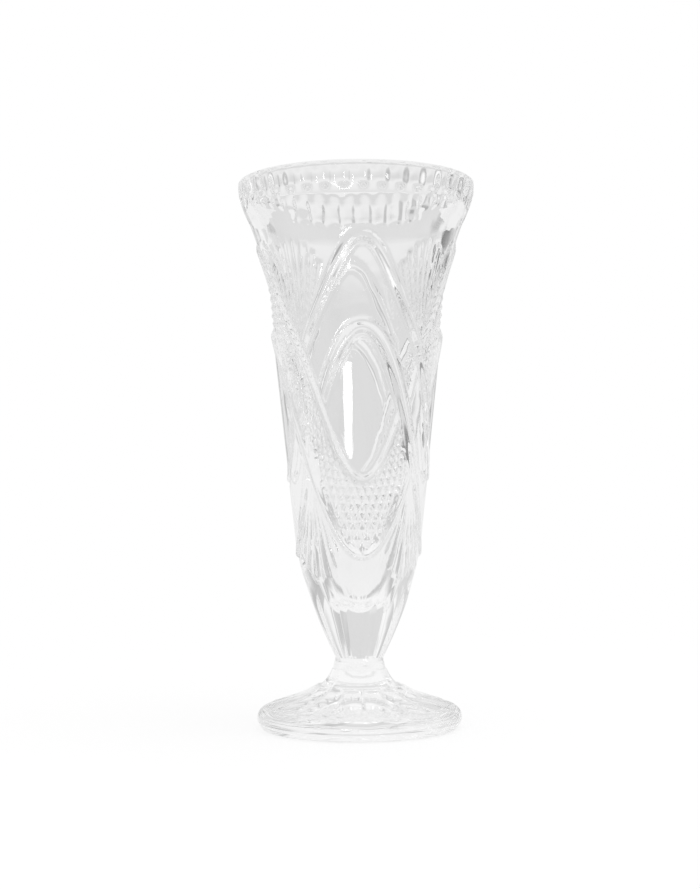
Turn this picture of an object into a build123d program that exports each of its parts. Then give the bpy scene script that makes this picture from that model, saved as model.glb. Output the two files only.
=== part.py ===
from build123d import *
import os
from math import atan, atan2, cos, degrees, pi, sin

# A footed flower vase of clear pressed glass, standing on z = 0 with its axis on Z and one panel facing -Y.
# All lengths are millimetres.

# Heights of the three glass pieces, from the table up
vase_height = 200.0
foot_height = 21.7
wafer_height = 4.0

# Outside of the bowl: a solid stem, a slim cone and a flare up to a thick lip
waist_radius = 8.65
body_base_radius = 22.4
body_top_radius = 31.9
rim_radius = 43.6
rim_round = 1.4
# Levels up the bowl, as shares of its height
stem_middle_level_share = 0.07
stem_top_level_share = 0.157
body_base_level_share = 0.231
body_top_level_share = 0.742
flare_top_level_share = 0.914
lip_middle_level_share = 0.947
lip_top_level_share = 0.977
# How far the stem, the flare and the lip have widened at those levels, as shares of their whole widening
stem_middle_share = 0.40
stem_top_share = 0.79
flare_top_share = 0.64
lip_middle_share = 0.86
lip_top_share = 0.99

# Inside of the bowl: its wall bends in below a knee, down to a small round floor above the solid stem
rim_wall = 4.6
body_wall = 4.6
solid_depth = 18.2
floor_radius = 9.0
knee_level_share = 0.4263

# Two interlaced strands pressed into the bowl: a rib runs along the upper and the lower edge of each
rib_width = 3.2
rib_height = 0.8
rib_root = 1.5
crests_per_strand = 2
# Each edge swings about a middle height. Its waves are shares of the bowl's height, the longest wave first.
upper_edge_share = 0.6124
upper_first_wave_share = 0.2311
upper_second_wave_share = -0.0052
upper_third_wave_share = 0.0119
upper_fourth_wave_share = 0.0068
lower_edge_share = 0.4246
lower_first_wave_share = 0.2306
lower_second_wave_share = 0.0201
# How many points draw each side of a rib across one panel, and the turn by which it runs on past the panel
rib_points = 13
rib_run_on_turn = 0.03

# Upright flutes scooped out of the lip, deepest at its top
flute_count = 40
flute_height = 10.0
flute_depth = 0.7
flute_width = 5.2

# Flat panels ground into the stem, from the waist up to a rounded top
stem_panel_count = 8
stem_panel_depth = 0.55
stem_panel_top_share = 0.125

# Wafer of glass that joins bowl and foot
wafer_foot_radius = 9.6

# Foot: a flared disc with a thick round edge, resting on a flat ring round a shallow hollow
foot_radius = 37.4
foot_edge_height = 8.0
foot_ring_width = 6.2
foot_hollow_depth = 2.4
# Where the foot's edge turns, as shares of its radius and of the edge's height
foot_shoulder_radius_share = 0.905
foot_ring_radius_share = 0.945
foot_widest_share = 0.45
# Where the foot's cone turns up into the neck, as shares of its radius and of the rise above the edge
neck_base_radius_share = 0.64
neck_base_height_share = 0.234

# Shallow hollow panels round the top of the foot
foot_panel_count = 16
foot_panel_depth = 0.6
foot_panel_hollow_radius = 17.0


def between(low, high, share):
    """The value at a share of the way from low to high."""
    return low + (high - low) * share


def level(share):
    """Height of the level at a share of the way up the bowl."""
    return between(bowl_base, vase_height, share)


def wave_level(turn, *wave_shares):
    """Height of an edge at a turn round the bowl, from its middle share and its waves' shares."""
    swings = [share * cos(crests_per_strand * order * turn) for order, share in enumerate(wave_shares)]
    return level(sum(swings))


def upper_edge(turn):
    """Height of a strand's upper edge at a turn from its crest."""
    return wave_level(turn, upper_edge_share, upper_first_wave_share, upper_second_wave_share,
                      upper_third_wave_share, upper_fourth_wave_share)


def lower_edge(turn):
    """Height of a strand's lower edge at a turn from its crest."""
    return wave_level(turn, lower_edge_share, lower_first_wave_share, lower_second_wave_share)


def rib_side(edge, from_crest, shift):
    """Points along one side of a rib, as a panel shows them: its edge moved square to itself by a shift."""
    reach = half_panel_turn + rib_run_on_turn
    turn_step = 2 * reach / (rib_points - 1)
    points = []
    for number in range(rib_points):
        turn = number * turn_step - reach
        height = edge(turn + from_crest)
        rise = edge(turn + from_crest + turn_step / 2) - edge(turn + from_crest - turn_step / 2)
        radius = body_base_radius + body_lean * (height - body_base_height)
        lean = atan(rise / (radius * turn_step))
        points.append((radius * sin(turn - shift * sin(lean) / radius), height + shift * cos(lean)))
    return points


def body_side(shift):
    """Draws the bowl's outside between stem and lip, moved away from the axis by a shift."""
    TangentArc((body_base_radius + shift, body_base_height), (stem_top_radius + shift, stem_top_height),
               tangent=(-body_lean, -1))
    Line((body_base_radius + shift, body_base_height), (body_top_radius + shift, body_top_height))
    TangentArc((body_top_radius + shift, body_top_height), (flare_top_radius + shift, flare_top_height),
               tangent=(body_lean, 1))


# Sizes that follow from the ones above
bowl_base = foot_height + wafer_height
stem_middle_height = level(stem_middle_level_share)
stem_top_height = level(stem_top_level_share)
body_base_height = level(body_base_level_share)
body_top_height = level(body_top_level_share)
flare_top_height = level(flare_top_level_share)
lip_middle_height = level(lip_middle_level_share)
lip_top_height = level(lip_top_level_share)
stem_middle_radius = between(waist_radius, body_base_radius, stem_middle_share)
stem_top_radius = between(waist_radius, body_base_radius, stem_top_share)
flare_top_radius = between(body_top_radius, rim_radius, flare_top_share)
lip_middle_radius = between(body_top_radius, rim_radius, lip_middle_share)
lip_top_radius = between(body_top_radius, rim_radius, lip_top_share)
panel_count = 2 * crests_per_strand
half_panel_turn = pi / panel_count
body_rise = body_top_height - body_base_height
body_lean = (body_top_radius - body_base_radius) / body_rise

floor_height = bowl_base + solid_depth
floor_centre = floor_height + floor_radius
mouth_radius = rim_radius - rim_wall
inner_top_radius = body_top_radius - body_wall
knee_height = level(knee_level_share)
knee_radius = inner_top_radius - body_lean * (body_top_height - knee_height)
# One wide arc leaves the wall at the knee and meets the round floor at its edge, smooth at both ends
wall_turn = atan(body_lean)
knee_rise = knee_height - floor_centre
knee_shift = knee_rise * sin(wall_turn) - knee_radius * cos(wall_turn)
bend_radius = (floor_radius ** 2 - knee_radius ** 2 - knee_rise ** 2) / (2 * (knee_shift + floor_radius))
bend_axis_radius = knee_radius - bend_radius * cos(wall_turn)
bend_axis_height = knee_height + bend_radius * sin(wall_turn)
floor_turn = atan2(bend_axis_height - floor_centre, -bend_axis_radius)
floor_edge = (floor_radius * cos(floor_turn), floor_centre - floor_radius * sin(floor_turn))

# Ribs on one panel of the bowl, which has a crest of one strand and a trough of the other
panel_side = Plane((0, 0, 0), x_dir=(-sin(half_panel_turn), -cos(half_panel_turn), 0),
                   z_dir=(-cos(half_panel_turn), sin(half_panel_turn), 0))
with BuildPart() as panel_ribs:
    with BuildSketch(panel_side) as shell_section:
        with BuildLine() as shell_outline:
            body_side(rib_height)
            body_side(-rib_root)
            for radius, height in ((stem_top_radius, stem_top_height), (flare_top_radius, flare_top_height)):
                Line((radius - rib_root, height), (radius + rib_height, height))
        make_face()
    revolve(axis=Axis.Z, revolution_arc=degrees(2 * half_panel_turn))
    with BuildSketch(Plane.XZ) as rib_section:
        for edge in (upper_edge, lower_edge):
            for from_crest in (0, 2 * half_panel_turn):
                with BuildLine() as rib_outline:
                    over = Spline(*rib_side(edge, from_crest, rib_width / 2))
                    under = Spline(*rib_side(edge, from_crest, -rib_width / 2))
                    Line(over @ 0, under @ 0)
                    Line(over @ 1, under @ 1)
                make_face()
    extrude(amount=2 * rim_radius, mode=Mode.INTERSECT)

# Bowl with its solid stem
with BuildPart() as bowl:
    with BuildSketch(Plane.XZ) as bowl_section:
        with BuildLine() as bowl_outline:
            Line((0, vase_height), (0, bowl_base))
            Line((0, bowl_base), (waist_radius, bowl_base))
            ThreePointArc((waist_radius, bowl_base), (stem_middle_radius, stem_middle_height),
                          (stem_top_radius, stem_top_height))
            body_side(0)
            ThreePointArc((flare_top_radius, flare_top_height), (lip_middle_radius, lip_middle_height),
                          (lip_top_radius, lip_top_height))
            Line((lip_top_radius, lip_top_height), (rim_radius, vase_height))
            Line((rim_radius, vase_height), (0, vase_height))
        make_face()
    revolve(axis=Axis.Z)
    with PolarLocations(0, panel_count):
        add(panel_ribs.part)

    # Cavity for the water and the stalks
    with BuildSketch(Plane.XZ) as cavity_section:
        with BuildLine() as cavity_outline:
            Line((0, vase_height), (0, floor_height))
            TangentArc((0, floor_height), floor_edge, tangent=(1, 0))
            TangentArc((knee_radius, knee_height), floor_edge, tangent=(-body_lean, -1))
            Line((knee_radius, knee_height), (inner_top_radius, body_top_height))
            TangentArc((inner_top_radius, body_top_height), (mouth_radius, vase_height),
                       tangent=(body_lean, 1))
            Line((mouth_radius, vase_height), (0, vase_height))
        make_face()
    revolve(axis=Axis.Z, mode=Mode.SUBTRACT)
    fillet(bowl.faces().sort_by(Axis.Z)[-1].edges(), rim_round)

    # Flutes of the lip: each is a leaning round scoop that runs out at its foot
    scoop_radius = flute_depth / 2 + flute_width ** 2 / (8 * flute_depth)
    scoop_lean = degrees(atan2(flute_depth, flute_height))
    with PolarLocations(rim_radius - flute_depth + scoop_radius, flute_count):
        with Locations((0, 0, vase_height)):
            Cylinder(scoop_radius, 2 * flute_height, rotation=(0, -scoop_lean, 0), mode=Mode.SUBTRACT)

    # Flat panels of the stem: each is planed off along a straight line up the stem
    panel_top = level(stem_panel_top_share)
    panel_top_share = (panel_top - bowl_base) / (stem_top_height - bowl_base)
    panel_top_radius = between(waist_radius, stem_top_radius, panel_top_share)
    with BuildSketch(Plane.XZ) as panel_section:
        with BuildLine() as panel_outline:
            Polyline((waist_radius - stem_panel_depth, bowl_base), (rim_radius, bowl_base),
                     (panel_top_radius, panel_top), close=True)
        make_face()
    planed_off = extrude(panel_section.sketch, amount=waist_radius, both=True, mode=Mode.PRIVATE)
    with PolarLocations(0, stem_panel_count):
        add(planed_off, mode=Mode.SUBTRACT)
bowl.part.label = "bowl"

# Wafer: a short plain collar, face to face with the bowl above and the foot below
with BuildPart() as joining_wafer:
    with BuildSketch(Plane.XZ) as wafer_section:
        with BuildLine() as wafer_outline:
            Polyline((0, foot_height), (wafer_foot_radius, foot_height), (waist_radius, bowl_base),
                     (0, bowl_base), close=True)
        make_face()
    revolve(axis=Axis.Z)
joining_wafer.part.label = "joining_wafer"

# Foot
shoulder_radius = foot_radius * foot_shoulder_radius_share
ring_radius = foot_radius * foot_ring_radius_share
hollow_radius = ring_radius - foot_ring_width
hollow_middle = (hollow_radius / 2, foot_hollow_depth * 3 / 4)
neck_base_radius = foot_radius * neck_base_radius_share
neck_base_height = between(foot_edge_height, foot_height, neck_base_height_share)
cone_width = shoulder_radius - neck_base_radius
cone_rise = neck_base_height - foot_edge_height
with BuildPart() as foot:
    with BuildSketch(Plane.XZ) as foot_section:
        with BuildLine() as foot_outline:
            Line((0, foot_height), (0, foot_hollow_depth))
            ThreePointArc((0, foot_hollow_depth), hollow_middle, (hollow_radius, 0))
            Line((hollow_radius, 0), (ring_radius, 0))
            ThreePointArc((ring_radius, 0), (foot_radius, foot_edge_height * foot_widest_share),
                          (shoulder_radius, foot_edge_height))
            Line((shoulder_radius, foot_edge_height), (neck_base_radius, neck_base_height))
            TangentArc((neck_base_radius, neck_base_height), (wafer_foot_radius, foot_height),
                       tangent=(-cone_width, cone_rise))
            Line((wafer_foot_radius, foot_height), (0, foot_height))
        make_face()
    revolve(axis=Axis.Z)

    # Hollow panels down the cone: each is a round scoop that lies along the slope
    cone_slope = atan2(cone_rise, cone_width)
    scoop_lift = foot_panel_hollow_radius - foot_panel_depth
    scoop_middle_radius = (shoulder_radius + neck_base_radius) / 2 + scoop_lift * sin(cone_slope)
    scoop_middle_height = (foot_edge_height + neck_base_height) / 2 + scoop_lift * cos(cone_slope)
    with PolarLocations(scoop_middle_radius, foot_panel_count, start_angle=180 / foot_panel_count):
        with Locations((0, 0, scoop_middle_height)):
            Cylinder(foot_panel_hollow_radius, cone_width, rotation=(0, 90 + degrees(cone_slope), 0),
                     mode=Mode.SUBTRACT)
foot.part.label = "foot"

os.makedirs("parts", exist_ok=True)
for piece in (bowl, joining_wafer, foot):
    export_step(piece.part, f"parts/{piece.part.label}.step")
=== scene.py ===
import math

import bpy
import numpy as np
from mathutils import Matrix, Vector


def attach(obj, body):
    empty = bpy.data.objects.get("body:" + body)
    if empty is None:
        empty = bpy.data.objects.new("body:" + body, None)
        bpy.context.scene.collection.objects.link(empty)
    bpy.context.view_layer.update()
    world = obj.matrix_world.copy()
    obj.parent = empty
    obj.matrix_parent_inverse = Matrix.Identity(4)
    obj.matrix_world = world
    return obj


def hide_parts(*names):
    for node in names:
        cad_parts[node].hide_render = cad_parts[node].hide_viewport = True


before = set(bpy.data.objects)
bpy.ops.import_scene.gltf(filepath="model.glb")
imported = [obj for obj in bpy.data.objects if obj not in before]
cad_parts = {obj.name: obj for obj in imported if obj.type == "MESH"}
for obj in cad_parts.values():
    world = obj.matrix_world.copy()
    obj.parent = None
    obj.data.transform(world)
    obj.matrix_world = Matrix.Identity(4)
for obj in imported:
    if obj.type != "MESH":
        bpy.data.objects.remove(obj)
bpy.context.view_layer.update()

# Footed vase of clear pressed glass. Its lengths are millimetres, turned to metres where a mesh is made.
# A turn round the vase is 0 at the panel that faces -Y and grows towards +X.
MM = 0.001
FULL_TURN = 2 * math.pi
QUARTER_TURN = FULL_TURN / 4

# Outline of the vase as (radius, height). It follows the part's source, apart from the inside of the lip and
# the edge of the foot.
WAIST = (8.65, 25.7)
STEM_MIDDLE = (14.15, 37.9)
STEM_TOP = (19.51, 53.07)
BODY_BASE = (22.4, 65.96)
BODY_TOP = (31.9, 155.03)
FLARE_TOP = (39.39, 185.01)
LIP_MIDDLE = (41.96, 190.76)
LIP_TOP = (43.48, 195.99)
RIM = (43.6, 200.0)
RIM_ROUND = 1.4
MOUTH = (39.0, 200.0)
INNER_LIP = (38.6, 192.0)
INNER_FLARE = (34.0, 184.5)
INNER_TOP = (27.3, 155.03)
KNEE = (21.43, 100.0)
CAVITY_END_RADIUS = 9.0
CAVITY_END_HEIGHT = 43.9
CAVITY_END_TURN = math.radians(23.1)
NECK = (9.6, 21.7)
CONE_TOP = (23.94, 11.21)
SHOULDER = (33.85, 8.0)
FOOT_WIDEST = (37.4, 4.0)
FOOT_CHAMFER = (36.85, 1.9)
RING_OUTER = (35.34, 0.0)
RING_INNER = (29.14, 0.0)
HOLLOW_MIDDLE = (14.57, 1.8)
HOLLOW_TOP = (0.0, 2.4)

# How far the bowl's joint face stops inside its outline
JOINT_INSET = 0.05

# How finely each piece is turned: columns round it and steps along its outline
COLUMNS = 400
CAVITY_COLUMNS = 100
FOOT_COLUMNS = 768
STEM_STEP = 1.3
POINT_STEP = 0.5
PATTERN_STEP = 0.85
FLARE_STEP = 1.4
LIP_STEP = 0.85
CAVITY_STEP = 2.5
ARC_STEPS = 32
ROUND_STEPS = 5
CAVITY_END_STEPS = 8
WAFER_STEPS = 6
FOOT_STEPS = 14
RING_STEPS = 4

# Heights between which the bowl is turned more finely, for the pattern and for its diamond points
PATTERN_LOW = 50.0
POINTS_LOW = 66.0
POINTS_HIGH = 100.0
PATTERN_HIGH = 172.0

# Interlaced strands, each with so many crests a turn. Each edge swings about its middle height, by the
# length of each swing so many times a turn.
CRESTS = 2
UPPER_MIDDLE = 132.44
UPPER_SWINGS = {2: 40.28, 4: -0.91, 6: 2.07, 8: 1.19}
LOWER_MIDDLE = 99.71
LOWER_SWINGS = {2: 40.19, 4: 3.5}
RIB_WIDTH = 3.9
RIB_WIDTH_SWING = 1.2

# Diamond points: rays from a point above each trough and below each crest, with staggered rows across them
DIAMOND_CENTRE_RISE = 29.0
DIAMOND_LEVEL = 116.3
DIAMOND_TURN = math.radians(2.65)
DIAMOND_ROW_SHARE = 1.02
HALF_POINT_SHARE = 0.5

# Fans of petals between the strands: height where they start, petals each side of the middle one, and reach
UPPER_FAN = {"apex": 130.3, "side petals": 4, "petal turn": math.radians(4.3), "reach": 45.0, "droop": 0.42}
LOWER_FAN = {"apex": 92.3, "side petals": 3, "petal turn": math.radians(5.4), "reach": 38.0, "droop": 0.9}

# Flutes of the lip, panels of the stem and the seams that the mould leaves
FLUTE_COUNT = 40
FLUTE_WIDTH = 6.7
FLUTE_FOOT = (40.5, 190.0)
FLUTE_LEAN = math.radians(16.5)
LIP_LOW = 188.7
STEM_PANELS = 8
STEM_RIDGE_SHARE = 0.05
PANEL_ARCH_LOW = 43.0
PANEL_ARCH_HIGH = 56.0
SEAM_HALF_WIDTH = 0.3
SEAM_TOP = 61.0

# Foot: hollow panels down its cone with a ridge between each two, below four hollows round its neck
FOOT_PANELS = 16
FOOT_PANEL_IN = 15.3
FOOT_PANEL_OUT = 34.9
FOOT_RIDGE_HALF_WIDTH = 0.6
NECK_CREASE = 15.4
NECK_CREASE_RUN = 0.7
NECK_HOLLOW_TOP = 21.5
NECK_HOLLOW_RUN = 4.0

# How far each form stands out of the glass or is sunk into it. Edge is the run over which the forms between
# the ribs reach their full height, and the flutes take their share of the glass down to their floor.
BOWL_SIZES = {
    "Rib height": 1.05,
    "Plain height": 0.4,
    "Diamond height": 1.2,
    "Diamond sink": 1.2,
    "Petal height": 0.32,
    "Petal groove": 0.25,
    "Oval height": 0.3,
    "Edge": 0.9,
    "Flute share": 0.75,
    "Panel depth": 0.3,
    "Seam height": 0.08,
}
FOOT_SIZES = {"Panel depth": 0.75, "Neck depth": 0.8, "Ridge height": 0.4}

# Smallest distance from the axis, or from the centre of the rays, that sums over the glass work with
SMALLEST_REACH = 1.0

# Glass: the angle past which an edge is drawn crisp, and the ripple of its skin
SHARP_ANGLE = math.radians(65)
GLASS_IOR = 1.517
RIPPLE_LENGTH = 9.0
RIPPLE_HEIGHT = 0.15
RIPPLE_SHARE = 0.8

# Floor. Lengths from here on are metres. Its shadow runs out between two distances from the vase. In the
# glass it is a little dimmer, with a painted glow near the foot and a ring of painted shade that is open
# straight behind the vase.
FLOOR_REACH = 4.0
FLOOR_GAP = 0.0002
SHADOW_NEAR = 0.12
SHADOW_FAR = 0.45
SHADOW_SHARE = 0.12
FLOOR_IN_GLASS = 0.88
PAINTED_SHADE_RING_MIDDLE = 0.14
PAINTED_SHADE_RING_HALF_WIDTH = 0.06
PAINTED_SHADE_RING_SHARE = 0.42
PAINTED_SHADE_SIDE_LOW = math.radians(10)
PAINTED_SHADE_SIDE_HIGH = math.radians(18)
PAINTED_GLOW_REACH = 0.12
PAINTED_GLOW_GAIN = 0.12

# Studio round the glass. Heights are the rise of a ray: 0 at the horizon and 1 straight up. The strips stand
# upright, as (turn from straight behind the vase, half width, change of brightness). All of them are weaker
# in a low gap, and the dark ones also above their top.
WALL_GREY = 0.7
BAND_MIDDLE = 0.22
BAND_HALF_WIDTH = 0.1
BAND_GAIN = 0.16
CEILING_GREY = 0.97
CEILING_LOW = 0.46
CEILING_HIGH = 0.72
STRIP_GAP_MIDDLE = 0.115
STRIP_GAP_HALF_WIDTH = 0.065
STRIP_GAP_SHARE = 0.9
STRIP_TOP = 0.27
STRIP_TOP_RUN = 0.04
STRIP_TOP_SHARE = 0.62
STRIPS = (
    (math.radians(-19), math.radians(5), -0.33),
    (math.radians(-30), math.radians(7), 0.3),
    (math.radians(-62), math.radians(10), -0.4),
    (math.radians(-140), math.radians(8), -0.4),
    (math.radians(19), math.radians(5), -0.35),
    (math.radians(29), math.radians(5), 0.22),
    (math.radians(49), math.radians(18), -0.55),
    (math.radians(150), math.radians(14), -0.5),
)

# Lamps: a small window that shows as glints in the glass, and a wide one overhead that it doesn't show
VASE_MIDDLE = (0, 0, RIM[1] / 2 * MM)
WINDOW_PLACE = (-0.118, -0.385, 0.054)
WINDOW_WIDTH = 0.085
WINDOW_HEIGHT = 0.0575
WINDOW_WATTS = 0.115
OVERHEAD_PLACE = (0.3, -0.2, 1.4)
OVERHEAD_SIDE = 0.9
OVERHEAD_WATTS = 8.0

# Bounces that let light leave the thick glass of stem and foot, and the limit of a glint
GLASS_BOUNCES = 32
GLINT_LIMIT = 3.0

# Camera as the photograph has it, from pixels of a 700 x 889 picture. Only the sensor is in millimetres.
PICTURE_HEIGHT = 889
FOCAL_PIXELS = 1532
SENSOR = 36.0
DISTANCE = 0.564
CAMERA_HEIGHT = 0.0855
ROUND = math.radians(-3.5)
PITCH = math.radians(1.82)
YAW = math.radians(0.288)
ROLL = math.radians(-0.4)


def heading_of(start, end):
    """Angle of the straight line from one point of an outline to the next."""
    return math.atan2(end[1] - start[1], end[0] - start[0])


def straight(start, end, steps):
    """Points along a straight line of an outline, without its start."""
    return [tuple(np.add(start, np.subtract(end, start) * step / steps)) for step in range(1, steps + 1)]


def bend(start, heading, end, steps):
    """Points of the arc that leaves start at a heading and runs to end, without the start itself."""
    chord = math.dist(start, end)
    turn = math.remainder(heading_of(start, end) - heading, FULL_TURN)
    points = []
    for step in range(1, steps + 1):
        share = step / steps
        length = chord * math.sin(turn * share) / math.sin(turn)
        points.append((start[0] + length * math.cos(heading + turn * share),
                       start[1] + length * math.sin(heading + turn * share)))
    return points


def bend_through(start, middle, end, steps):
    """Points of the arc through three points, without the first."""
    heading = heading_of(start, middle) + heading_of(start, end) - heading_of(middle, end)
    return bend(start, heading, end, steps)


def round_edge(centre, radius, first, last, steps):
    """Points of a round edge about a centre, from one heading to another."""
    headings = [first + (last - first) * step / steps for step in range(steps + 1)]
    return [(centre[0] + radius * math.cos(way), centre[1] + radius * math.sin(way)) for way in headings]


def radius_at(outline, height):
    """Radius of an outline that rises all the way, at a height."""
    return float(np.interp(height, [point[1] for point in outline], [point[0] for point in outline]))


def levels(low, high, step):
    """Even levels from low up to high, without high."""
    return [float(level) for level in np.linspace(low, high, round((high - low) / step), endpoint=False)]


def turned(name, rings, joint_strips):
    """A closed mesh turned round Z from rings of (radius, height, columns, pressed).

    A ring of radius 0 is a pole. The strips named by number are marked as joints, and the pressed rings as
    those that take the pattern.
    """
    points = []
    pressed = []
    starts = []
    counts = []
    for radius, height, columns, marked in rings:
        starts.append(len(points))
        counts.append(columns if radius else 1)
        for column in range(counts[-1]):
            turn = FULL_TURN * column / columns
            points.append((radius * math.sin(turn) * MM, -radius * math.cos(turn) * MM, height * MM))
            pressed.append(marked)
    faces = []
    joints = []
    for strip in range(len(rings) - 1):
        low_count, high_count = counts[strip], counts[strip + 1]
        low_start, high_start = starts[strip], starts[strip + 1]
        columns = min(low_count, high_count)
        if columns == 1:
            columns = max(low_count, high_count)
        low_steps = low_count // columns
        high_steps = high_count // columns
        for column in range(columns):
            corners = [low_start + (column * low_steps + step) % low_count for step in range(low_steps + 1)]
            for step in range(high_steps, -1, -1):
                corners.append(high_start + (column * high_steps + step) % high_count)
            faces.append(tuple(dict.fromkeys(corners)))
            joints.append(strip in joint_strips)
    mesh = bpy.data.meshes.new(name)
    mesh.from_pydata(points, [], faces)
    mesh.attributes.new("pressed", "FLOAT", "POINT").data.foreach_set("value", pressed)
    mesh.attributes.new("joint", "BOOLEAN", "FACE").data.foreach_set("value", joints)
    piece = bpy.data.objects.new(name, mesh)
    bpy.context.scene.collection.objects.link(piece)
    return piece


def bowl_piece():
    """The bowl, turned across its joint, up the outside, over the lip and down the cavity."""
    body_heading = heading_of(BODY_BASE, BODY_TOP)
    outside = [WAIST] + bend_through(WAIST, STEM_MIDDLE, STEM_TOP, ARC_STEPS)
    outside += bend(BODY_BASE, body_heading + math.pi, STEM_TOP, ARC_STEPS)[-2::-1] + [BODY_BASE, BODY_TOP]
    outside += bend(BODY_TOP, body_heading, FLARE_TOP, ARC_STEPS)
    outside += bend_through(FLARE_TOP, LIP_MIDDLE, LIP_TOP, ARC_STEPS) + [RIM]
    round_low = RIM[1] - RIM_ROUND
    zones = (
        (WAIST[1], PATTERN_LOW, STEM_STEP),
        (PATTERN_LOW, POINTS_LOW, PATTERN_STEP),
        (POINTS_LOW, POINTS_HIGH, POINT_STEP),
        (POINTS_HIGH, PATTERN_HIGH, PATTERN_STEP),
        (PATTERN_HIGH, LIP_LOW, FLARE_STEP),
        (LIP_LOW, round_low, LIP_STEP),
    )
    outer_levels = [level for low, high, step in zones for level in levels(low, high, step)]
    rings = [(0, WAIST[1], COLUMNS, 0), (WAIST[0] - JOINT_INSET, WAIST[1], COLUMNS, 0)]
    rings += [(radius_at(outside, level), level, COLUMNS, 1) for level in outer_levels]

    outer_centre = RIM[0] - RIM_ROUND, round_low
    inner_centre = MOUTH[0] + RIM_ROUND, round_low
    outer_round = round_edge(outer_centre, RIM_ROUND, 0, QUARTER_TURN, ROUND_STEPS)
    inner_round = round_edge(inner_centre, RIM_ROUND, QUARTER_TURN, math.pi, ROUND_STEPS)
    rings += [(radius, level, COLUMNS, 1) for radius, level in outer_round]
    rings += [(radius, level, COLUMNS, 0) for radius, level in inner_round]

    end_centre = 0, CAVITY_END_HEIGHT + CAVITY_END_RADIUS
    end_turns = -CAVITY_END_TURN, -QUARTER_TURN
    cavity_end = round_edge(end_centre, CAVITY_END_RADIUS, *end_turns, CAVITY_END_STEPS)
    inside = [cavity_end[0]] + bend(cavity_end[0], QUARTER_TURN - CAVITY_END_TURN, KNEE, ARC_STEPS)
    inside += [INNER_TOP] + bend(INNER_TOP, body_heading, INNER_FLARE, ARC_STEPS) + [INNER_LIP, MOUTH]
    cavity_levels = levels(cavity_end[0][1], round_low - CAVITY_STEP / 2, CAVITY_STEP)
    rings += [(radius_at(inside, level), level, CAVITY_COLUMNS, 0) for level in reversed(cavity_levels)]
    rings += [(radius, level, CAVITY_COLUMNS, 0) for radius, level in cavity_end[1:-1]]
    rings.append((0, CAVITY_END_HEIGHT, CAVITY_COLUMNS, 0))
    return turned("bowl_glass", rings, {0})


def wafer_piece():
    """The plain wafer, with a joint face below and above it."""
    outline = [NECK] + straight(NECK, WAIST, WAFER_STEPS)
    rings = [(0, NECK[1], COLUMNS, 0)]
    rings += [(radius, level, COLUMNS, 0) for radius, level in outline]
    rings.append((0, WAIST[1], COLUMNS, 0))
    return turned("joining_wafer_glass", rings, {0, len(rings) - 2})


def foot_piece():
    """The foot, turned from the hollow under it, round its edge and up its cone to the joint on its neck."""
    outline = [HOLLOW_TOP] + bend_through(HOLLOW_TOP, HOLLOW_MIDDLE, RING_INNER, FOOT_STEPS)
    outline += straight(RING_INNER, RING_OUTER, RING_STEPS) + straight(RING_OUTER, FOOT_CHAMFER, RING_STEPS)
    outline += bend_through(FOOT_CHAMFER, FOOT_WIDEST, SHOULDER, FOOT_STEPS)
    outline += straight(SHOULDER, CONE_TOP, FOOT_STEPS)
    outline += bend(CONE_TOP, heading_of(SHOULDER, CONE_TOP), NECK, ARC_STEPS)
    rings = [(radius, level, FOOT_COLUMNS, level > FOOT_WIDEST[1]) for radius, level in outline]
    rings.append((0, NECK[1], FOOT_COLUMNS, 0))
    return turned("foot_glass", rings, {len(rings) - 2})


def add_node(tree, kind, settings=None, links=None):
    """Adds a node with its settings, and gives each named input a value or another node's output."""
    node = tree.nodes.new(kind)
    for name, value in (settings or {}).items():
        setattr(node, name, value)
    for place, value in (links or {}).items():
        if isinstance(value, bpy.types.NodeSocket):
            tree.links.new(value, node.inputs[place])
        else:
            node.inputs[place].default_value = value
    return node


class Measure:
    """A length, share or angle that varies from place to place, worked out by the node tree it belongs to."""

    def __init__(self, tree, socket):
        self.tree = tree
        self.socket = socket

    def work(self, operation, *others):
        """What one Math node makes of the measure and of other measures or numbers."""
        values = [value.socket if isinstance(value, Measure) else value for value in (self, *others)]
        node = add_node(self.tree, "ShaderNodeMath", {"operation": operation}, dict(enumerate(values)))
        return Measure(self.tree, node.outputs[0])

    def __add__(self, other):
        return self.work("ADD", other)

    def __sub__(self, other):
        return self.work("SUBTRACT", other)

    def __mul__(self, other):
        return self.work("MULTIPLY", other)

    def __truediv__(self, other):
        return self.work("DIVIDE", other)

    def __rsub__(self, other):
        return self * -1 + other

    def __rtruediv__(self, other):
        return self.work("POWER", -1) * other

    __radd__ = __add__
    __rmul__ = __mul__

    def within(self, low, high):
        """The measure, kept between two bounds."""
        return self.work("MAXIMUM", low).work("MINIMUM", high)

    def round_hump(self):
        """A rounded hump: 1 where the measure is 0, and 0 where it is 1 or more either way."""
        return (1 - self * self).work("MAXIMUM", 0)

    def soft_hump(self):
        """A rounded hump that also runs out softly at its foot."""
        hump = self.round_hump()
        return hump * hump

    def eased(self):
        """The measure kept between 0 and 1, with soft ends."""
        share = self.within(0, 1)
        return share * share * (3 - share * 2)

    def folded(self, share, offset=0.0):
        """The turn measured from the middle of the share of a turn that it lies in."""
        return (self - offset).work("WRAP", share / 2, -share / 2)


def pick(first, second, choice):
    """The first measure where choice is 1, and the second where it is 0."""
    return second + (first - second) * choice


def swinging_edge(side, middle, swings, turn, height, radius):
    """How far a point lies above an edge of a strand, measured square to the edge."""
    level = middle
    slope = 0
    for times, swing in swings.items():
        sided = swing * side ** (times // CRESTS)
        level = level + (turn * times).work("COSINE") * sided
        slope = slope - (turn * times).work("SINE") * (sided * times)
    lean = slope / radius
    return (height - level) / (lean * lean + 1).work("SQRT")


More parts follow.
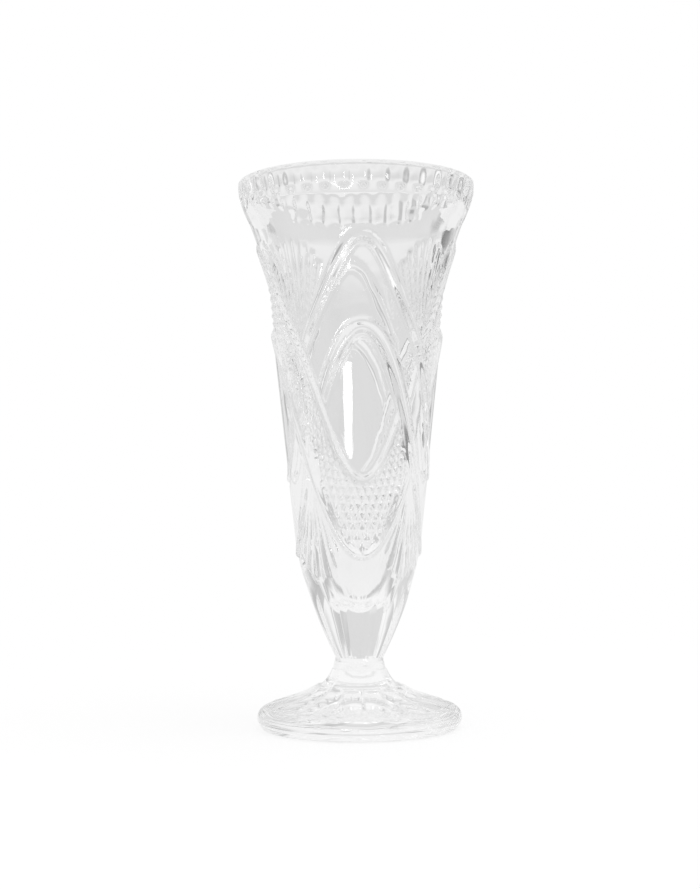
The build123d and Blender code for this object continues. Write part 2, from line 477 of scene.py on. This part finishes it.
def strand(side, turn, height, radius):
    """One interlaced strand: how far a point lies from its edges, outside it and inside its ribs.

    The relief of its ribs is a share of their height. The side is 1 for the strand with a crest at turn 0,
    and -1 for the one with a trough there.
    """
    half_rib = (RIB_WIDTH + side * RIB_WIDTH_SWING * (turn * CRESTS).work("COSINE")) / 2
    above = swinging_edge(side, UPPER_MIDDLE, UPPER_SWINGS, turn, height, radius)
    below = swinging_edge(side, LOWER_MIDDLE, LOWER_SWINGS, turn, height, radius) * -1
    return {
        "above": above,
        "below": below,
        "half rib": half_rib,
        "outside": above.work("MAXIMUM", below) - half_rib,
        "inside": above.work("MAXIMUM", below) * -1 - half_rib,
        "ribs": (above / half_rib).soft_hump() + (below / half_rib).soft_hump(),
    }


def diamond_points(turn, height, radius):
    """Pyramids between two sets of grooves that cross on rays and rows, as a share of their height."""
    across = radius * turn.folded(QUARTER_TURN)
    up_or_down = (turn * CRESTS).work("COSINE").work("SIGN")
    along = DIAMOND_CENTRE_RISE + up_or_down * (DIAMOND_LEVEL - height)
    ray = across.work("ARCTAN2", along) / DIAMOND_TURN
    reach = (across * across + along * along).work("SQRT").work("MAXIMUM", SMALLEST_REACH)
    row = reach.work("LOGARITHM", math.e) / (2 * DIAMOND_ROW_SHARE * DIAMOND_TURN)
    one_way = (ray + row).work("PINGPONG", HALF_POINT_SHARE)
    other_way = (ray - row).work("PINGPONG", HALF_POINT_SHARE)
    return one_way.work("MINIMUM", other_way) / HALF_POINT_SHARE


def fan(across, rise, sizes, petal_height, groove_depth):
    """Relief of petals that spread from a point and end in round tips, with grooves between them."""
    spread = across.work("ARCTAN2", rise) / sizes["petal turn"]
    reach = (across * across + rise * rise).work("SQRT")
    petal = spread.work("ROUND").within(-sizes["side petals"], sizes["side petals"])
    tip = sizes["reach"] - sizes["droop"] * petal * petal
    tip_half_width = tip * (sizes["petal turn"] / 2)
    beside = (spread - petal) * 2
    beyond = ((reach - tip) / tip_half_width + 1).work("MAXIMUM", 0)
    leaf = ((beside * beside).round_hump() - (beyond * beyond * beyond * beyond)).work("MAXIMUM", 0)
    field = (beyond * beyond).round_hump() * beside.work("ABSOLUTE").work("LESS_THAN", 1)
    return (leaf * (petal_height + groove_depth) - field * groove_depth) * (reach / tip).within(0, 1)


def strand_relief(turn, height, radius, sizes):
    """Relief of the strands, and of the fans and plain ovals between them."""
    edge = sizes["Edge"]
    plain = strand(1, turn, height, radius)
    pointed = strand(-1, turn, height, radius)
    band = (plain["inside"] / edge).within(0, 1) * sizes["Plain height"]
    points = diamond_points(turn, height, radius) * sizes["Diamond height"] - sizes["Diamond sink"]
    points = (pointed["inside"] / edge).within(0, 1) * points
    plain_top = plain["ribs"] * sizes["Rib height"] + band
    pointed_top = pointed["ribs"] * sizes["Rib height"] + points

    # A strand lies over the other one where it falls as the turn grows
    plain_is_over = (turn * CRESTS).work("SINE").work("GREATER_THAN", 0)
    over = pick(plain_top, pointed_top, plain_is_over)
    under = pick(pointed_top, plain_top, plain_is_over)
    out_of_over = pick(plain["outside"], pointed["outside"], plain_is_over)
    out_of_under = pick(pointed["outside"], plain["outside"], plain_is_over)

    from_fan = radius * turn.folded(QUARTER_TURN, QUARTER_TURN / 2)
    petals = sizes["Petal height"], sizes["Petal groove"]
    ground = fan(from_fan, height - UPPER_FAN["apex"], UPPER_FAN, *petals)
    ground = ground + fan(from_fan, LOWER_FAN["apex"] - height, LOWER_FAN, *petals)
    for crest, trough in ((plain, pointed), (pointed, plain)):
        oval = (crest["below"] - crest["half rib"]).work("MINIMUM", trough["above"] - trough["half rib"])
        ground = ground + (oval / edge).within(0, 1) * sizes["Oval height"]
    behind = pick(under, (out_of_under / edge).within(0, 1) * ground, out_of_under.work("LESS_THAN", 0))
    return pick(over, (out_of_over / edge).within(0, 1) * behind, out_of_over.work("LESS_THAN", 0))


def flute_relief(turn, height, radius, sizes):
    """Depth of the round-ended flutes, scooped out of the lip towards a straight leaning floor."""
    flute_half = FLUTE_WIDTH / 2
    beside = radius * turn.folded(FULL_TURN / FLUTE_COUNT) / flute_half
    below_flute = ((FLUTE_FOOT[1] - height) / flute_half + 1).work("MAXIMUM", 0)
    flute = (1 - beside * beside - below_flute * below_flute).work("MAXIMUM", 0)
    floor_radius = FLUTE_FOOT[0] + (height - FLUTE_FOOT[1]) * math.tan(FLUTE_LEAN)
    return flute * flute * (radius - floor_radius).work("MAXIMUM", 0) * sizes["Flute share"]


def stem_relief(turn, height, radius, sizes):
    """Relief of the stem's flat panels, which run out in arches, and of the mould's fine seams up it."""
    arch = ((height - PANEL_ARCH_LOW) / (PANEL_ARCH_HIGH - PANEL_ARCH_LOW)).eased()
    corner = 1 + STEM_RIDGE_SHARE * (1 - arch)
    from_panel = turn.folded(FULL_TURN / STEM_PANELS)
    flat = 1 / from_panel.work("COSINE")
    panel = (flat.work("MINIMUM", corner) - 1) * radius
    hollow = (from_panel / math.acos(1 / (1 + STEM_RIDGE_SHARE))).round_hump() * (1 - arch)
    panel = panel - hollow * sizes["Panel depth"]
    seam = (radius * turn.folded(QUARTER_TURN) / SEAM_HALF_WIDTH).round_hump()
    return panel, seam * height.work("LESS_THAN", SEAM_TOP) * sizes["Seam height"]


def bowl_relief(turn, height, radius, sizes):
    """Relief of the bowl in millimetres, out from the plain turned surface."""
    pattern = strand_relief(turn, height, radius, sizes)
    flutes = flute_relief(turn, height, radius, sizes)
    panel, seam = stem_relief(turn, height, radius, sizes)
    return pattern - flutes + panel + seam


def foot_relief(turn, height, radius, sizes):
    """Relief of the foot in millimetres, out from the plain turned surface."""
    panel = FULL_TURN / FOOT_PANELS
    beside = turn.folded(panel, panel / 2) / (panel / 2)
    middle = (FOOT_PANEL_OUT + FOOT_PANEL_IN) / 2
    along = (radius - middle) / ((FOOT_PANEL_OUT - FOOT_PANEL_IN) / 2)
    on_cone = (along * along * along * along).round_hump()
    hollow = beside.round_hump() * on_cone * sizes["Panel depth"]
    ridge = (radius * turn.folded(panel) / FOOT_RIDGE_HALF_WIDTH).soft_hump() * on_cone
    on_neck = ((height - NECK_CREASE) / NECK_CREASE_RUN).within(0, 1)
    on_neck = on_neck * ((NECK_HOLLOW_TOP - height) / NECK_HOLLOW_RUN).eased()
    neck = (turn.folded(QUARTER_TURN) / (QUARTER_TURN / 2)).round_hump() * on_neck * sizes["Neck depth"]
    from_corner = radius * turn.folded(QUARTER_TURN, QUARTER_TURN / 2)
    corner = (from_corner / FOOT_RIDGE_HALF_WIDTH).soft_hump() * on_neck
    return (ridge + corner) * sizes["Ridge height"] - hollow - neck


def press(piece, relief, sizes, outward, glass, joint):
    """Presses a relief into the marked rings of a turned piece by a Geometry Nodes tree, and keeps the mesh.

    The relief moves the glass straight away from the axis if it is outward, or else square to its surface.
    """
    tree = bpy.data.node_groups.new(piece.name + " pattern", "GeometryNodeTree")
    tree.interface.new_socket("Geometry", in_out="INPUT", socket_type="NodeSocketGeometry")
    sockets = {}
    for label in sizes:
        sockets[label] = tree.interface.new_socket(label, in_out="INPUT", socket_type="NodeSocketFloat")
    tree.interface.new_socket("Geometry", in_out="OUTPUT", socket_type="NodeSocketGeometry")
    given = add_node(tree, "NodeGroupInput")
    place = add_node(tree, "GeometryNodeInputPosition")
    parts = add_node(tree, "ShaderNodeSeparateXYZ", links={0: place.outputs[0]})
    x, y, z = (Measure(tree, parts.outputs[axis]) * (1 / MM) for axis in range(3))
    radius = (x * x + y * y).work("SQRT").work("MAXIMUM", SMALLEST_REACH)
    turn = x.work("ARCTAN2", y * -1)
    measures = {label: Measure(tree, given.outputs[label]) for label in sizes}
    marked = add_node(tree, "GeometryNodeInputNamedAttribute", {"data_type": "FLOAT"}, {"Name": "pressed"})
    height = relief(turn, z, radius, measures) * Measure(tree, marked.outputs[0]) * MM
    if outward:
        way = add_node(tree, "ShaderNodeCombineXYZ", links={0: (x / radius).socket, 1: (y / radius).socket})
    else:
        way = add_node(tree, "GeometryNodeInputNormal")
    shift = add_node(tree, "ShaderNodeVectorMath", {"operation": "SCALE"},
                     {0: way.outputs[0], "Scale": height.socket})
    moved = add_node(tree, "GeometryNodeSetPosition",
                     links={0: given.outputs[0], "Offset": shift.outputs[0]})
    halved = add_node(tree, "GeometryNodeTriangulate", {"quad_method": "SHORTEST_DIAGONAL"},
                      {0: moved.outputs[0]})
    smooth = add_node(tree, "GeometryNodeSetShadeSmooth", links={0: halved.outputs[0]})
    whole = add_node(tree, "GeometryNodeRealizeInstances", links={0: smooth.outputs[0]})
    clear = add_node(tree, "GeometryNodeSetMaterial", links={0: whole.outputs[0], "Material": glass})
    flagged = add_node(tree, "GeometryNodeInputNamedAttribute", {"data_type": "BOOLEAN"}, {"Name": "joint"})
    fused = add_node(tree, "GeometryNodeSetMaterial",
                     links={0: clear.outputs[0], "Selection": flagged.outputs[0], "Material": joint})
    add_node(tree, "NodeGroupOutput", links={0: fused.outputs[0]})

    modifier = piece.modifiers.new("pattern", "NODES")
    modifier.node_group = tree
    for label, size in sizes.items():
        modifier[sockets[label].identifier] = size
    depsgraph = bpy.context.evaluated_depsgraph_get()
    mesh = bpy.data.meshes.new_from_object(piece.evaluated_get(depsgraph), depsgraph=depsgraph)
    mesh.name = piece.name
    piece.modifiers.clear()
    piece.data = mesh
    mesh.set_sharp_from_angle(angle=SHARP_ANGLE)


def linear(colour):
    """A colour as sRGB hex turned to the linear values that shaders take, by the standard's own curve."""
    shares = [int(colour[place:place + 2], 16) / 255 for place in (1, 3, 5)]
    lights = [share / 12.92 if share <= 0.04045 else ((share + 0.055) / 1.055) ** 2.4 for share in shares]
    return lights + [1.0]


def clear_pressed_glass():
    """Soda-lime glass pressed in a mould and fire-polished.

    The eye sees no colour of its own, only the studio bent by the pattern and by the slow ripple of the skin.
    """
    material = bpy.data.materials.new("clear_pressed_glass")
    material.use_nodes = True
    tree = material.node_tree
    shader = tree.nodes["Principled BSDF"]
    shader.inputs["Base Color"].default_value = linear("#FFFFFF")
    shader.inputs["Roughness"].default_value = 0.0
    shader.inputs["IOR"].default_value = GLASS_IOR
    shader.inputs["Transmission Weight"].default_value = 1.0
    place = add_node(tree, "ShaderNodeTexCoord")
    ripple = add_node(tree, "ShaderNodeTexNoise", links={
        "Vector": place.outputs["Object"],
        "Scale": 1 / (RIPPLE_LENGTH * MM),
        "Detail": 1.0,
    })
    skin = add_node(tree, "ShaderNodeBump", links={
        "Height": ripple.outputs[0],
        "Strength": RIPPLE_SHARE,
        "Distance": RIPPLE_HEIGHT * MM,
    })
    tree.links.new(skin.outputs[0], shader.inputs["Normal"])
    return material


def fused_joint():
    """Glass joined hot, where no surface is left: the faces inside it let all light through unseen."""
    material = bpy.data.materials.new("fused_joint")
    material.use_nodes = True
    tree = material.node_tree
    tree.nodes.clear()
    through = add_node(tree, "ShaderNodeBsdfTransparent")
    add_node(tree, "ShaderNodeOutputMaterial", links={"Surface": through.outputs[0]})
    return material


def white_paper_sheet():
    """Matt white paper. The eye sees it white, with a soft shadow near the vase.

    The glass sees it a little dimmer, with a painted glow near the foot and a ring of painted shade that
    darkens the diamond points.
    """
    material = bpy.data.materials.new("white_paper_sheet")
    material.use_nodes = True
    tree = material.node_tree
    tree.nodes.clear()
    path = add_node(tree, "ShaderNodeLightPath")
    place = add_node(tree, "ShaderNodeTexCoord")
    parts = add_node(tree, "ShaderNodeSeparateXYZ", links={0: place.outputs["Object"]})
    x, y = (Measure(tree, parts.outputs[axis]) for axis in range(2))
    length = add_node(tree, "ShaderNodeVectorMath", {"operation": "LENGTH"}, {0: place.outputs["Object"]})
    away = Measure(tree, length.outputs["Value"])
    near = (1 - (away - SHADOW_NEAR) / (SHADOW_FAR - SHADOW_NEAR)).within(0, 1)
    # A ring of painted shade on the floor, seen only in the glass and open straight behind the vase
    ring = ((away - PAINTED_SHADE_RING_MIDDLE) / PAINTED_SHADE_RING_HALF_WIDTH).round_hump()
    aside = x.work("ARCTAN2", y).work("ABSOLUTE")
    ring = ring * ((aside - PAINTED_SHADE_SIDE_LOW) / (PAINTED_SHADE_SIDE_HIGH - PAINTED_SHADE_SIDE_LOW)).within(0, 1) * PAINTED_SHADE_RING_SHARE
    # A painted glow of light on the floor round the foot, seen only in the glass
    glow = (1 - away / PAINTED_GLOW_REACH).within(0, 1) * PAINTED_GLOW_GAIN
    by_eye = Measure(tree, path.outputs["Is Camera Ray"])
    by_glass = Measure(tree, path.outputs["Is Glossy Ray"])
    by_glass = by_glass.work("MAXIMUM", Measure(tree, path.outputs["Is Transmission Ray"]))
    bright = by_eye.work("MAXIMUM", FLOOR_IN_GLASS + glow - ring)
    share = by_eye.work("MAXIMUM", by_glass) * (1 - near * SHADOW_SHARE)
    matt = add_node(tree, "ShaderNodeBsdfDiffuse", links={"Color": linear("#F2F2F2")})
    lit = add_node(tree, "ShaderNodeEmission", links={"Color": linear("#FFFFFF"), "Strength": bright.socket})
    mix = add_node(tree, "ShaderNodeMixShader",
                   links={0: share.socket, 1: matt.outputs[0], 2: lit.outputs[0]})
    add_node(tree, "ShaderNodeOutputMaterial", links={"Surface": mix.outputs[0]})
    return material


def studio():
    """A world that is white to the camera.

    To the glass it has pale grey walls with a lighter band, a bright ceiling and upright strips of light
    and dark.
    """
    world = bpy.data.worlds.new("studio")
    world.use_nodes = True
    tree = world.node_tree
    tree.nodes.clear()
    path = add_node(tree, "ShaderNodeLightPath")
    way = add_node(tree, "ShaderNodeTexCoord")
    parts = add_node(tree, "ShaderNodeSeparateXYZ", links={0: way.outputs["Generated"]})
    x, y, rise = (Measure(tree, parts.outputs[axis]) for axis in range(3))
    climb = ((rise - CEILING_LOW) / (CEILING_HIGH - CEILING_LOW)).eased()
    around = x.work("ARCTAN2", y)
    grey = WALL_GREY + climb * (CEILING_GREY - WALL_GREY)
    grey = grey + ((rise - BAND_MIDDLE) / BAND_HALF_WIDTH).round_hump() * BAND_GAIN
    fade = 1 - ((rise - STRIP_GAP_MIDDLE) / STRIP_GAP_HALF_WIDTH).round_hump() * STRIP_GAP_SHARE
    dark_fade = fade - ((rise - STRIP_TOP) / STRIP_TOP_RUN).eased() * STRIP_TOP_SHARE
    for turn, half_width, change in STRIPS:
        strip_fade = dark_fade if change < 0 else fade
        grey = grey + ((around - turn) / half_width).round_hump() * strip_fade * change
    shade = grey + (1 - grey) * Measure(tree, path.outputs["Is Camera Ray"])
    back = add_node(tree, "ShaderNodeBackground", links={"Color": shade.socket, "Strength": 1.0})
    add_node(tree, "ShaderNodeOutputWorld", links={"Surface": back.outputs[0]})
    return world


def softbox(name, place, aim, width, height, watts, seen):
    """A flat soft lamp that faces a point. Only some are seen in the glass."""
    lamp = bpy.data.lights.new(name, "AREA")
    lamp.shape = "RECTANGLE"
    lamp.size = width
    lamp.size_y = height
    lamp.energy = watts
    holder = bpy.data.objects.new(name, lamp)
    holder.location = place
    holder.rotation_euler = (Vector(aim) - Vector(place)).to_track_quat("-Z", "Y").to_euler()
    holder.visible_camera = False
    holder.visible_glossy = seen
    holder.visible_transmission = seen
    bpy.context.scene.collection.objects.link(holder)


# The three pieces of glass. No ring of the wafer is marked as pressed, so it stays plain.
glass = clear_pressed_glass()
joint = fused_joint()
bowl = bowl_piece()
wafer = wafer_piece()
foot = foot_piece()
press(bowl, bowl_relief, BOWL_SIZES, True, glass, joint)
press(wafer, foot_relief, FOOT_SIZES, False, glass, joint)
press(foot, foot_relief, FOOT_SIZES, False, glass, joint)

for piece, node in ((bowl, "bowl"), (wafer, "joining_wafer"), (foot, "foot")):
    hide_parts(node)
    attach(piece, "root")

# Floor just under the vase
sheet = bpy.data.meshes.new("floor")
corners = [(x * FLOOR_REACH, y * FLOOR_REACH, 0) for x, y in ((-1, -1), (1, -1), (1, 1), (-1, 1))]
sheet.from_pydata(corners, [], [(0, 1, 2, 3)])
floor = bpy.data.objects.new("floor", sheet)
bpy.context.scene.collection.objects.link(floor)
floor.location.z = -FLOOR_GAP
sheet.materials.append(white_paper_sheet())

# Light: the studio and its two lamps
bpy.context.scene.world = studio()
softbox("window", WINDOW_PLACE, VASE_MIDDLE, WINDOW_WIDTH, WINDOW_HEIGHT, WINDOW_WATTS, True)
softbox("overhead", OVERHEAD_PLACE, VASE_MIDDLE, OVERHEAD_SIDE, OVERHEAD_SIDE, OVERHEAD_WATTS, False)

# Light may bounce often enough to leave the thick glass, and strong glints are held back so that they leave
# no specks. Denoising from colour alone keeps grain out of the clear glass.
cycles = bpy.context.scene.cycles
cycles.sample_clamp_indirect = GLINT_LIMIT
cycles.denoising_input_passes = "RGB"
cycles.max_bounces = GLASS_BOUNCES
cycles.transmission_bounces = GLASS_BOUNCES
cycles.glossy_bounces = GLASS_BOUNCES
cycles.transparent_max_bounces = GLASS_BOUNCES

# Camera, set back from the axis and then turned round the vase
eye = bpy.data.cameras.new("camera")
eye.sensor_fit = "VERTICAL"
eye.sensor_width = SENSOR
eye.sensor_height = SENSOR
eye.lens = SENSOR * FOCAL_PIXELS / PICTURE_HEIGHT
camera = bpy.data.objects.new("camera", eye)
bpy.context.scene.collection.objects.link(camera)
camera.matrix_world = (Matrix.Rotation(ROUND, 4, "Z") @ Matrix.Translation((0, -DISTANCE, CAMERA_HEIGHT))
                       @ Matrix.Rotation(YAW, 4, "Z") @ Matrix.Rotation(QUARTER_TURN + PITCH, 4, "X")
                       @ Matrix.Rotation(ROLL, 4, "Z"))
bpy.context.scene.camera = camera
bpy.context.scene.view_settings.view_transform = "Standard"
